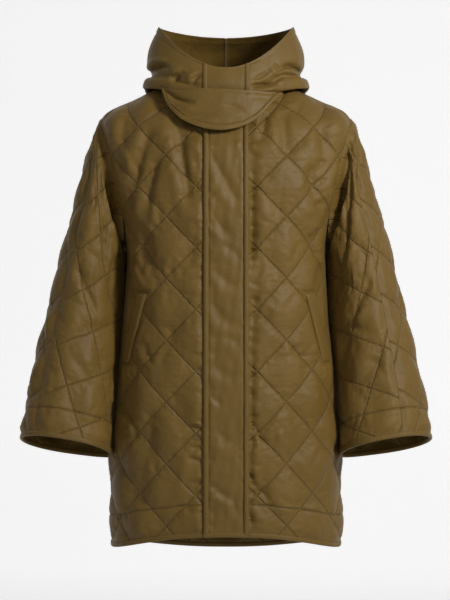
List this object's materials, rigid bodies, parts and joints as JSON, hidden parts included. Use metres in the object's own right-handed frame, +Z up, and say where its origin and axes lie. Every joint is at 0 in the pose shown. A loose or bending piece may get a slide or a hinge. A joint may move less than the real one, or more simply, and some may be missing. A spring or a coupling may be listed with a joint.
{
  "type": "hooded quilted jacket",
  "caption": "Long wide quilted jacket filled out as if worn, with a plain placket, a throat flap, a hood thrown back, slanted pockets and wide sleeves.",
  "frame": {"origin": "midway between the shoulder seams, where the wearer's shoulders and neck hold the jacket up", "axes": "+Z up; -Y out of the jacket's front; +X towards its wearer's left"},
  "size_m": [0.723, 0.3504, 0.9528],
  "materials": {
    "shell": "quilted satin-matt khaki-olive woven nylon",
    "plain_cloth": "plain satin-matt khaki-olive woven nylon",
    "binding": "khaki-olive bias binding of the same cloth"
  },
  "bodies": {
    "root": {"front_left": "shell", "front_right": "shell", "back": "shell", "sleeve_left_front": "shell", "sleeve_left_back": "shell", "sleeve_right_front": "shell", "sleeve_right_back": "shell", "pocket_welt_left": "shell", "pocket_welt_right": "shell", "placket": "plain_cloth", "collar_front": "plain_cloth", "hood_left": "plain_cloth", "hood_right": "plain_cloth", "throat_flap": "plain_cloth", "placket_edge_left": "binding", "placket_edge_right": "binding", "collar_edge_left": "binding", "collar_edge_right": "binding", "hem_binding": "binding", "placket_foot_binding": "binding", "cuff_binding_left": "binding", "cuff_binding_right": "binding"}
  },
  "joints": []
}
